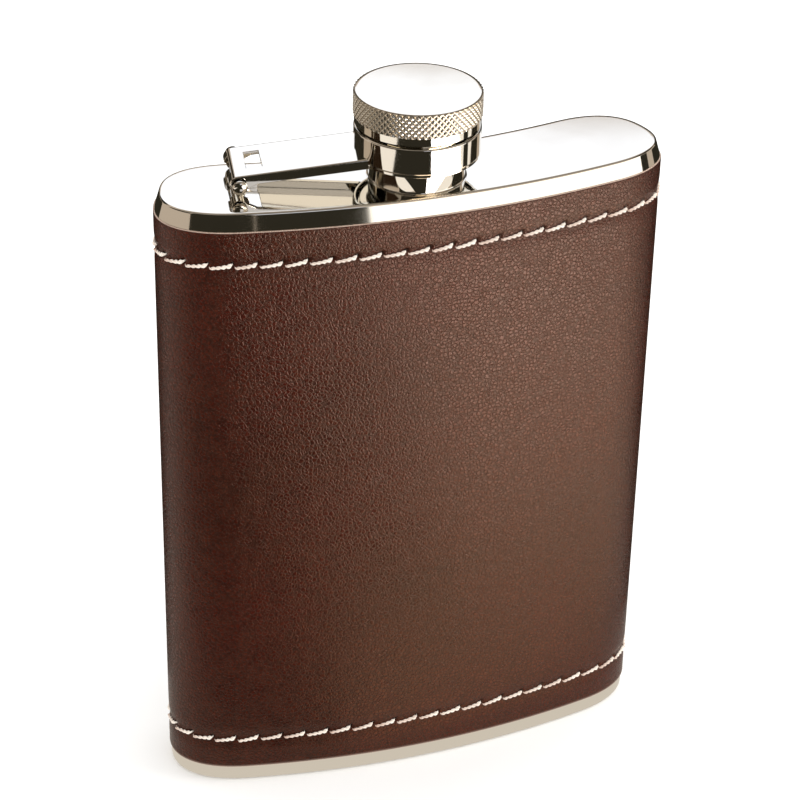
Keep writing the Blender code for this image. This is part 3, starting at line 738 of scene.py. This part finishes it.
COLLAR_RADIUS = 10.9 * MM
SMALLEST_EDGE = 0.1 * MM    # shorter edges of the solid are merged away before bevelling
ARM_HALF_WIDTH = 6.05 * MM
ARM_SLOPE = math.radians(5.35)
HEEL_RADIUS = 1.75 * MM     # of the rolled end about the pin
FRONT_FOLD = 0.35 * MM      # outside radius of each long fold
BACK_FOLD = 0.75 * MM
ON_FACE = 0.05 * MM         # what still counts as lying on a face
hinge = next(joint for joint in frame["joints"] if joint["name"] == "arm_hinge")
pin_low, pin_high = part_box("hinge_pin")
pin_middle = (pin_low + pin_high) / 2
pin_way = Vector(hinge["axis"]).normalized()
arm_way = Vector((NECK_AXIS.x - pin_middle.x, NECK_AXIS.y - pin_middle.y, 0)).normalized()
arm_rise = Vector((0, 0, math.tan(ARM_SLOPE)))
arm = dressed_copy("hinge_arm", "cap_arm")
bpy.ops.mesh.remove_doubles(threshold=SMALLEST_EDGE)
pick(arm, lambda place: (place - NECK_AXIS).xy.length < COLLAR_RADIUS + 0.5 * MM)
bpy.ops.transform.translate(value=(arm_way + arm_rise) * SOLDER_GAP * 1.5)


def on_fold(place, side):
    """Whether a place is on one side's long fold, along the arm's top and round its rolled end."""
    along = (place - pin_middle).dot(arm_way)
    across = (place - pin_middle).dot(pin_way) * side
    above = place.z - pin_middle.z
    top = HEEL_RADIUS / math.cos(ARM_SLOPE) + along * math.tan(ARM_SLOPE)
    rolled = along < 0.2 * MM and math.hypot(along, above) > HEEL_RADIUS - ON_FACE
    return across > ARM_HALF_WIDTH - ON_FACE and (rolled or above > top - ON_FACE)


for side, fold in ((1, FRONT_FOLD), (-1, BACK_FOLD)):
    pick(arm, lambda place: on_fold(place, side))
    bpy.ops.mesh.bevel(offset=fold, segments=5, affect="EDGES")
close_mesh(arm)
soften(arm, EDGE_BREAK_MM, clamp=False)
shade_evenly(arm)
finish_piece(arm, mirror_steel, "arm", "polished_steel", "hinge_arm")

SHANK_RADIUS = 0.45 * MM
HEAD_RADIUS = 1.3 * MM
HEAD_THICK = 0.6 * MM
HEAD_MARGIN = 0.2 * MM      # how far each head stays inside the end of the solid
HEAD_DOME = ((1.0, 0.0), (1.0, 0.12), (0.97, 0.13), (0.84, 0.17), (0.6, 0.12), (0.3, 0.06))
pin_half = (pin_high - pin_low).xy.length / 2
shank_half = pin_half - HEAD_THICK - HEAD_MARGIN
bpy.ops.mesh.primitive_cylinder_add(vertices=40, radius=SHANK_RADIUS, depth=2 * shank_half)
pin = bpy.context.object
pin.name = "hinge_rivet"
bpy.ops.object.mode_set(mode="EDIT")
for side in (1, -1):
    pick(pin, lambda place: place.z * side > shank_half - 0.01 * MM)
    spread = SHANK_RADIUS
    for share, rise_mm in HEAD_DOME:
        bpy.ops.mesh.extrude_region_move(TRANSFORM_OT_translate={"value": (0, 0, side * rise_mm * MM)})
        widen = HEAD_RADIUS * share / spread
        bpy.ops.transform.resize(value=(widen, widen, 1))
        spread = HEAD_RADIUS * share
close_mesh(pin)
pin_turn = pin_way.to_track_quat("Z", "Y").to_matrix().to_4x4()
pin.matrix_world = Matrix.Translation(pin_middle) @ pin_turn
pin.select_set(True)
bpy.ops.object.transform_apply(location=True, rotation=True, scale=True)
pin.select_set(False)
finish_piece(pin, mirror_steel, "arm", "polished_steel", "hinge_pin")

# Swivel collar and its washer: a turned ring brazed to the arm, with a lip over the washer that keeps
# the cap captive. The washer is a plain stamped ring, out of sight inside the collar.
collar_low, collar_high = (corner.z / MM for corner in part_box("swivel_collar"))
collar_profile = [
    (9.3, collar_high), (10.7, collar_high), (10.9, collar_high - 0.2), (10.9, collar_low + 0.75),
    (10.72, collar_low + 0.6), (10.72, collar_low), (10.3, collar_low), (10.3, collar_high - 0.6),
    (9.3, collar_high - 0.6),
]
collar = turn_on_lathe("cap_collar", collar_profile, 160)
soften(collar, EDGE_BREAK_MM)
finish_piece(collar, mirror_steel, "arm", "polished_steel", "swivel_collar")
washer_low, washer_high = (corner.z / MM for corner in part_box("thrust_washer"))
washer_profile = [(9.3, washer_high), (10.0, washer_high), (10.0, washer_low), (9.3, washer_low)]
washer = turn_on_lathe("lift_washer", washer_profile, 96)
soften(washer, EDGE_BREAK_MM, 2)
finish_piece(washer, mirror_steel, "washer", "polished_steel", "thrust_washer")

# Cap core and liner: the threaded sleeve pressed into the cap, and the white sealing disc at its end.
# The sleeve's foot is spread under the washer, and its thread has the pitch of the neck's.
core_low, core_high = (corner.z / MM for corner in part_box("cap_core"))
cap_low_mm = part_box("cap_shell")[0].z / MM
liner_low, liner_high = (corner.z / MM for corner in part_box("cap_liner"))
core_profile = [
    (0.0, core_high), (9.9, core_high), (9.9, cap_low_mm), (9.0, cap_low_mm), (9.0, core_low + 0.4),
    (9.7, core_low + 0.4), (9.7, core_low), (8.5, core_low), (8.5, liner_high + 0.3),
    (0.0, liner_high + 0.3),
]
core = turn_on_lathe("cap_sleeve", core_profile, 128, closed=False)
soften(core, TUBE_BREAK_MM, 2)
finish_piece(core, mirror_steel, "cap", "polished_steel", "cap_core")
core_thread = thread_ridge("sleeve_thread", root_mm=8.55, crest_mm=8.2, start_z_mm=core_low + 0.7,
                           pitch_mm=THREAD_PITCH_MM, turns=1.6)
finish_piece(core_thread, mirror_steel, "cap", "polished_steel")

# Moulded polyethylene: the eye sees a milky white disc with a soft satin face and a faint ring pressed
# in by the mouth.
SATIN_MM = 0.8
polyethylene, shader = new_material("moulded_white_polyethylene")
shader.inputs["Base Color"].default_value = linear("EDEBE4")
coords = add_node(polyethylene, "ShaderNodeTexCoord")
satin = add_node(polyethylene, "ShaderNodeTexNoise", {"Scale": 1 / (SATIN_MM * MM), "Detail": 3.0},
                 Vector=coords.outputs["Object"])
satin_rough = add_node(polyethylene, "ShaderNodeMapRange", {"To Min": 0.4, "To Max": 0.55},
                       Value=satin.outputs["Fac"])
satin_bump = add_node(polyethylene, "ShaderNodeBump", {"Strength": 0.2, "Distance": 0.02 * MM},
                      Height=satin.outputs["Fac"])
polyethylene.node_tree.links.new(satin_rough.outputs["Result"], shader.inputs["Roughness"])
polyethylene.node_tree.links.new(satin_bump.outputs["Normal"], shader.inputs["Normal"])
liner_profile = [
    (0.0, liner_high), (8.2, liner_high), (8.2, liner_low + 0.1), (8.0, liner_low), (7.0, liner_low),
    (6.8, liner_low + 0.15), (5.8, liner_low + 0.15), (5.6, liner_low), (0.0, liner_low),
]
liner = turn_on_lathe("sealing_disc", liner_profile, 96, closed=False)
finish_piece(liner, polyethylene, "cap", "white_liner", "cap_liner")

# Cap shell: the turned steel grip with a flat polished crown, a fine diamond knurl and a smooth land
# below it. The knurl is real relief: two sets of crossing grooves cut into the rim leave rows of
# small pyramids.
CAP_RADIUS_MM = 11.07
CROWN_RADIUS_MM = 10.6      # where the flat of the crown ends
STEP_RADIUS_MM = 10.8       # small step between crown and knurl
LAND_RADIUS_MM = 10.82
HOLLOW_RADIUS_MM = 10.2
CROWN_THICK_MM = 1.0
KNURL_COUNT = 64            # grooves of each set round the cap
KNURL_DEPTH_MM = 0.3
KNURL_SAMPLES = 12          # mesh steps to a groove
KNURL_ROW_MM = 1.15         # height of one pyramid
STEP_SHADE = 0.95         # painted dark line in the step, where 1 is the bottom of a groove
cap_high_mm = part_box("cap_shell")[1].z / MM
knurl_low = cap_low_mm + 1.55
knurl_high = cap_high_mm - 0.22
knurl_rows = int((knurl_high - knurl_low) / KNURL_ROW_MM * KNURL_SAMPLES)
cap_profile = [(0.0, cap_high_mm), (HOLLOW_RADIUS_MM, cap_high_mm), (CROWN_RADIUS_MM, cap_high_mm),
               (STEP_RADIUS_MM - 0.08, cap_high_mm - 0.03), (STEP_RADIUS_MM, cap_high_mm - 0.11)]
for step in range(knurl_rows + 1):
    cap_profile.append((CAP_RADIUS_MM, knurl_high + (knurl_low - knurl_high) * step / knurl_rows))
cap_profile += [(LAND_RADIUS_MM, knurl_low - 0.15), (LAND_RADIUS_MM, cap_low_mm + 0.12),
                (LAND_RADIUS_MM - 0.12, cap_low_mm), (HOLLOW_RADIUS_MM, cap_low_mm),
                (HOLLOW_RADIUS_MM, cap_high_mm - CROWN_THICK_MM), (0.0, cap_high_mm - CROWN_THICK_MM)]
cap = turn_on_lathe("knurled_cap", cap_profile, KNURL_COUNT * KNURL_SAMPLES, closed=False)


def groove(turns):
    """Depth of one set of knurl grooves, 1 in the groove and 0 midway between grooves."""
    return np.abs(2 * (turns - np.floor(turns)) - 1)


cap_points = np.zeros(len(cap.data.vertices) * 3)
cap.data.vertices.foreach_get("co", cap_points)
cap_points = cap_points.reshape(-1, 3)
rim_x = cap_points[:, 0] - NECK_AXIS.x
rim_y = cap_points[:, 1] - NECK_AXIS.y
rim_radius = np.hypot(rim_x, rim_y)
round_turns = np.arctan2(rim_y, rim_x) / (2 * math.pi) * KNURL_COUNT
up_turns = (cap_points[:, 2] / MM - knurl_low) / KNURL_ROW_MM
cut_depth = np.maximum(groove(round_turns + up_turns), groove(round_turns - up_turns))
on_knurl = rim_radius > (CAP_RADIUS_MM - 0.1) * MM
cut_depth = np.where(on_knurl, cut_depth, 0.0)
shrink = 1 - cut_depth * KNURL_DEPTH_MM * MM / np.maximum(rim_radius, MM)
cap_points[:, 0] = NECK_AXIS.x + rim_x * shrink
cap_points[:, 1] = NECK_AXIS.y + rim_y * shrink
cap.data.vertices.foreach_set("co", cap_points.ravel())
# Painted dark line: the step below the crown is marked almost like the bottom of a groove.
on_step = (rim_radius > (STEP_RADIUS_MM - 0.1) * MM) & (cap_points[:, 2] > (cap_high_mm - 0.15) * MM)
knurl_depth_and_step_mark = cap.data.attributes.new("knurl_depth_and_step_shade", "FLOAT", "POINT")
knurl_depth_and_step_mark.data.foreach_set("value", np.where(on_step, STEP_SHADE, cut_depth))
cap.data.update()

# Knurled stainless steel: the eye sees polished pyramids, with painted shade and a little brown polish
# residue in the grooves, and a painted dark line in the step below the crown.
shaded_knurl_steel, shader = new_material("knurled_polished_steel")
shader.inputs["Metallic"].default_value = 1.0
coords = add_node(shaded_knurl_steel, "ShaderNodeTexCoord")
depth = add_node(shaded_knurl_steel, "ShaderNodeAttribute", {"attribute_name": "knurl_depth_and_step_shade"})
# Painted shade in the grooves, with a little polish residue, and a painted dark line in the step.
groove_shade_and_residue = add_node(shaded_knurl_steel, "ShaderNodeValToRGB", Fac=depth.outputs["Fac"])
groove_shade_and_residue.color_ramp.elements[0].position = 0.7
groove_shade_and_residue.color_ramp.elements[0].color = linear("F4F0E6")
groove_shade_and_residue.color_ramp.elements[1].position = 1.0
groove_shade_and_residue.color_ramp.elements[1].color = linear("9C8A6E")
haze = add_node(shaded_knurl_steel, "ShaderNodeTexNoise",
                {"Scale": 1 / (POLISH_HAZE_MM * MM), "Detail": 4.0}, Vector=coords.outputs["Object"])
rough = add_node(shaded_knurl_steel, "ShaderNodeMapRange",
                 {"From Min": 0.3, "From Max": 0.75, "To Min": 0.04, "To Max": 0.1},
                 Value=haze.outputs["Fac"])
grooves_dull = add_node(shaded_knurl_steel, "ShaderNodeMath", {"operation": "MULTIPLY_ADD"},
                        [depth.outputs["Fac"], 0.3, rough.outputs["Result"]])
shaded_knurl_steel.node_tree.links.new(groove_shade_and_residue.outputs["Color"], shader.inputs["Base Color"])
shaded_knurl_steel.node_tree.links.new(grooves_dull.outputs["Value"], shader.inputs["Roughness"])
finish_piece(cap, shaded_knurl_steel, "cap", "knurled_steel", "cap_shell")

# Floor and light: a pale seamless sheet under an even white studio sky, with a soft box to the right.
# Dark, grey and white cards stand round the flask outside the picture, and only its shine sees them
# and the room.
FLOOR_SIZE = 6.0
SKY_STRENGTH = 1.3
SOFT_BOX_PLACE = Vector((0.8, -0.25, 0.8))
SOFT_BOX_TARGET = Vector((0, 0, 0.08))
SOFT_BOX_SIZE = 0.6
SOFT_BOX_WATTS = 5.0
bpy.ops.mesh.primitive_plane_add(size=FLOOR_SIZE, location=(0, 0, 0))
floor = bpy.context.object
floor.name = "pale_floor"
paper, shader = new_material("white_paper_sheet")
shader.inputs["Base Color"].default_value = linear("FAF9F7")
shader.inputs["Roughness"].default_value = 0.9
floor.data.materials.append(paper)
floor.visible_glossy = False
floor.visible_diffuse = False

world = bpy.data.worlds.new("studio_sky")
world.use_nodes = True
world.node_tree.nodes["Background"].inputs["Color"].default_value = linear("FFFFFF")
world.node_tree.nodes["Background"].inputs["Strength"].default_value = SKY_STRENGTH
bpy.context.scene.world = world
bpy.context.scene.view_settings.view_transform = "Standard"

bpy.ops.object.light_add(type="AREA", location=SOFT_BOX_PLACE)
soft_box = bpy.context.object
soft_box.name = "right_soft_box"
soft_box.data.shape = "RECTANGLE"
soft_box.data.size = SOFT_BOX_SIZE
soft_box.data.size_y = SOFT_BOX_SIZE
soft_box.data.energy = SOFT_BOX_WATTS
soft_box.rotation_euler = (SOFT_BOX_PLACE - SOFT_BOX_TARGET).to_track_quat("Z", "Y").to_euler()
soft_box.visible_glossy = False


def only_for_shine(surface, colour, strength):
    """Make a stage surface glow, and let only mirror reflections see it."""
    material, glow = new_material(surface.name)
    glow.inputs["Base Color"].default_value = linear("000000")
    glow.inputs["Specular IOR Level"].default_value = 0.0
    glow.inputs["Emission Color"].default_value = linear(colour)
    glow.inputs["Emission Strength"].default_value = strength
    surface.data.materials.append(material)
    for ray in ("visible_camera", "visible_diffuse", "visible_shadow", "visible_transmission"):
        setattr(surface, ray, False)


def reflection_card(name, azimuths, distance, low, high, colour, strength):
    """An upright card that spans two azimuths from the front, in degrees, between two heights."""
    middle = math.radians(sum(azimuths) / 2)
    width = 2 * distance * math.tan(math.radians(azimuths[1] - azimuths[0]) / 2)
    away = Vector((math.sin(middle), -math.cos(middle), 0))
    bpy.ops.mesh.primitive_plane_add(size=1.0)
    card = bpy.context.object
    card.name = name
    card.scale = (width, high - low, 1)
    card.location = away * distance + Vector((0, 0, (low + high) / 2))
    card.rotation_euler = away.to_track_quat("Z", "Y").to_euler()
    only_for_shine(card, colour, strength)


def flat_card(name, left, right, near, far, height, colour, strength):
    """A level card between two places across and two along, at a height."""
    middle = ((left + right) / 2, (near + far) / 2, height)
    bpy.ops.mesh.primitive_plane_add(size=1.0, location=middle)
    card = bpy.context.object
    card.name = name
    card.scale = (right - left, far - near, 1)
    only_for_shine(card, colour, strength)


# The room, its ceiling and the table are what the steel mirrors where no card stands.
ROOM_RADIUS = 3.0
bpy.ops.mesh.primitive_uv_sphere_add(radius=ROOM_RADIUS)
room = bpy.context.object
room.name = "grey_room"
only_for_shine(room, "C0B1A1", 1.0)
flat_card("grey_ceiling", -2.0, 2.0, -0.8, 0.3, 1.1, "8F867B", 1.0)
flat_card("white_table", -2.5, 2.5, -2.5, 2.5, -0.45, "FFF6EA", 1.0)

# Sheets on the floor before the flask, from far to near: dark ones on the left and bright ones on the
# right give the leather its shaded side and its sheen. The base band mirrors the shaded floor.
DARK = "2D2A22"
SHEET_LEFT = -0.235
SHEET_RIGHT = 0.24
SHEET_Z = -0.5 * MM
flat_card("dark_sheet_far", SHEET_LEFT, 0.03, -0.9, -0.245, SHEET_Z, DARK, 1.0)
flat_card("dark_sheet_front", SHEET_LEFT, 0.052, -0.245, -0.12, SHEET_Z, DARK, 1.0)
flat_card("dark_sheet_middle", SHEET_LEFT, 0.026, -0.12, -0.07, SHEET_Z, DARK, 1.0)
flat_card("dark_sheet_near", SHEET_LEFT, -0.014, -0.07, -0.022, SHEET_Z, DARK, 1.0)
flat_card("white_sheet_far", 0.03, SHEET_RIGHT, -0.9, -0.245, SHEET_Z, "FFF8F6", 11.2)
flat_card("white_sheet_front", 0.052, SHEET_RIGHT, -0.245, -0.12, SHEET_Z, "FFF6F2", 10.2)
flat_card("white_sheet_middle", 0.026, SHEET_RIGHT, -0.12, -0.07, SHEET_Z, "FFEBD2", 4.3)
flat_card("white_sheet_near", -0.014, SHEET_RIGHT, -0.07, -0.022, SHEET_Z, "FFE3C0", 2.2)
flat_card("shaded_floor", -0.066, 0.066, -0.022, 0.03, SHEET_Z, "D8D0C5", 1.0)

# Upright cards give the steel its dark, grey and white bars. Some reach below the floor, for the faces
# that lean down.
reflection_card("dark_card_front_left", (-58, -8), 0.9, -0.05, 1.25, DARK, 1.0)
reflection_card("dark_card_front", (-8, 8), 0.9, -0.05, 0.32, DARK, 1.0)
reflection_card("pale_card_front", (-8, 8), 0.9, 0.32, 0.72, "DBDBE3", 1.0)
reflection_card("dark_card_front_high", (-8, 8), 0.9, 0.72, 1.25, DARK, 1.0)
reflection_card("white_card_right", (8, 74), 0.92, -0.05, 0.32, "FFFAF2", 1.6)
reflection_card("dark_strip_right", (71, 83), 0.6, -1.0, 0.2, DARK, 1.0)
reflection_card("dark_card_right", (97, 153), 0.6, -1.0, 0.08, DARK, 1.0)
reflection_card("dark_card_left", (171, 226), 0.6, -1.0, 0.2, DARK, 1.0)
reflection_card("dark_card_high_right", (69, 116), 0.9, 0.35, 0.9, DARK, 1.0)
reflection_card("dark_card_high_left", (190, 232), 0.9, 0.3, 0.9, DARK, 1.0)
reflection_card("brown_card_high_left", (250, 300), 0.9, 0.35, 0.9, "2A1E14", 1.0)
reflection_card("grey_card_back", (113, 178), 0.9, -0.2, 0.5, "3A342D", 1.0)
reflection_card("white_card_back", (130, 190), 1.0, 0.57, 1.6, "F1F5FF", 1.36)
